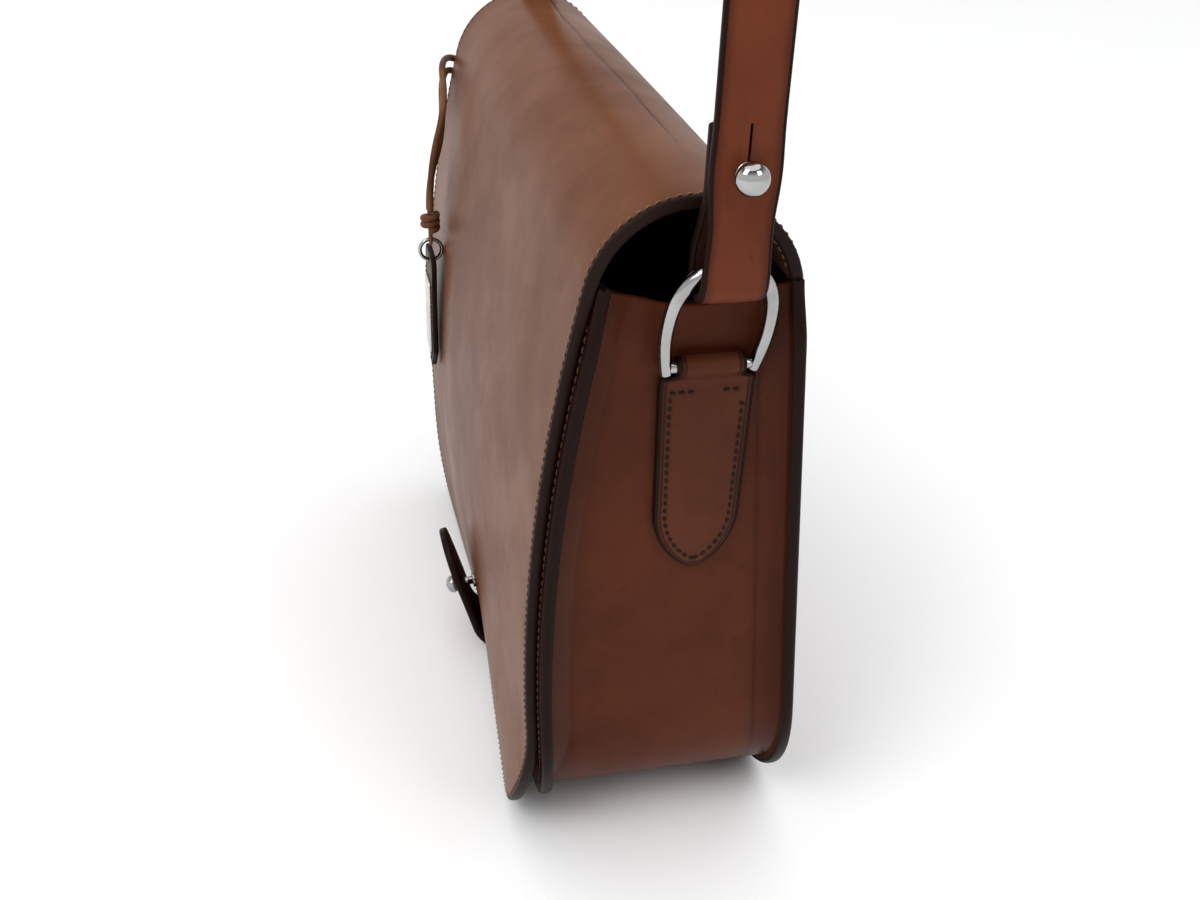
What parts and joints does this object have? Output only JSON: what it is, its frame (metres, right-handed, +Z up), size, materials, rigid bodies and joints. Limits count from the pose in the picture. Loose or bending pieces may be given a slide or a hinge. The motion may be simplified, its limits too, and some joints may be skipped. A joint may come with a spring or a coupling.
{
  "type": "saddle handbag",
  "caption": "Structured leather saddle handbag with a full arched flap, flanged gusset, buttoned closing tab, strap folded through rings and a plain hang tag.",
  "frame": {"origin": "on the surface the bag stands on, midway between the feet of its front and back panels", "axes": "+X along the width, -Y the front under the flap, +Z up"},
  "size_m": [0.3336, 0.1162, 0.5574],
  "materials": {
    "body_leather": "polished",
    "lining_suede": "suede",
    "flap_leather": "polished",
    "strap_leather": "polished",
    "ring_metal": "polished",
    "stud_metal": "polished",
    "tag_leather": "satin",
    "plate_metal": "satin"
  },
  "bodies": {
    "bag_body": {"front_panel": "body_leather", "back_panel": "body_leather", "gusset": "body_leather", "front_lining": "lining_suede", "back_lining": "lining_suede", "gusset_lining": "lining_suede", "chape_right": "strap_leather", "chape_left": "strap_leather", "closure_tab_anchor": "strap_leather", "tag_lace": "tag_leather"},
    "flap": {"flap_outer": "flap_leather", "flap_lining": "flap_leather", "closure_stud": "stud_metal", "closure_stud_screw": "stud_metal", "tag_knot": "tag_leather"},
    "closure_tab": {"closure_tab": "strap_leather"},
    "strap": {"shoulder_strap": "strap_leather", "strap_stud_right": "stud_metal", "strap_stud_left": "stud_metal", "strap_stud_screws": "stud_metal"},
    "ring_right": {"d_ring_right": "ring_metal"},
    "ring_left": {"d_ring_left": "ring_metal"},
    "hang_tag": {"tag_ring": "stud_metal", "hang_tag": "tag_leather", "tag_plate": "plate_metal"}
  },
  "joints": [
    {"name": "flap_hinge", "type": "hinge", "parent": "bag_body", "child": "flap", "pos_m": [0, 0.027, 0.22615], "axis": [-1, 0, 0], "range_deg": [0, 135], "deforming": ["tag_lace"]},
    {"name": "closure_tab_fold", "type": "hinge", "parent": "bag_body", "child": "closure_tab", "pos_m": [0, -0.05274, 0.0024], "axis": [1, 0, 0], "range_deg": [0, 80]},
    {"name": "strap_swing", "type": "hinge", "parent": "bag_body", "child": "strap", "pos_m": [0, 0, 0.22063], "axis": [1, 0, 0], "range_deg": [-25, 25]},
    {"name": "ring_right_rock", "type": "hinge", "parent": "bag_body", "child": "ring_right", "pos_m": [0.1399, 0, 0.199], "axis": [0, 1, 0], "range_deg": [-1, 1]},
    {"name": "ring_left_rock", "type": "hinge", "parent": "bag_body", "child": "ring_left", "pos_m": [-0.1399, 0, 0.199], "axis": [0, 1, 0], "range_deg": [-1, 1]},
    {"name": "tag_swing", "type": "hinge", "parent": "flap", "child": "hang_tag", "pos_m": [-0.09, -0.0605, 0.1545], "axis": [0, 1, 0], "range_deg": [-25, 25]}
  ]
}
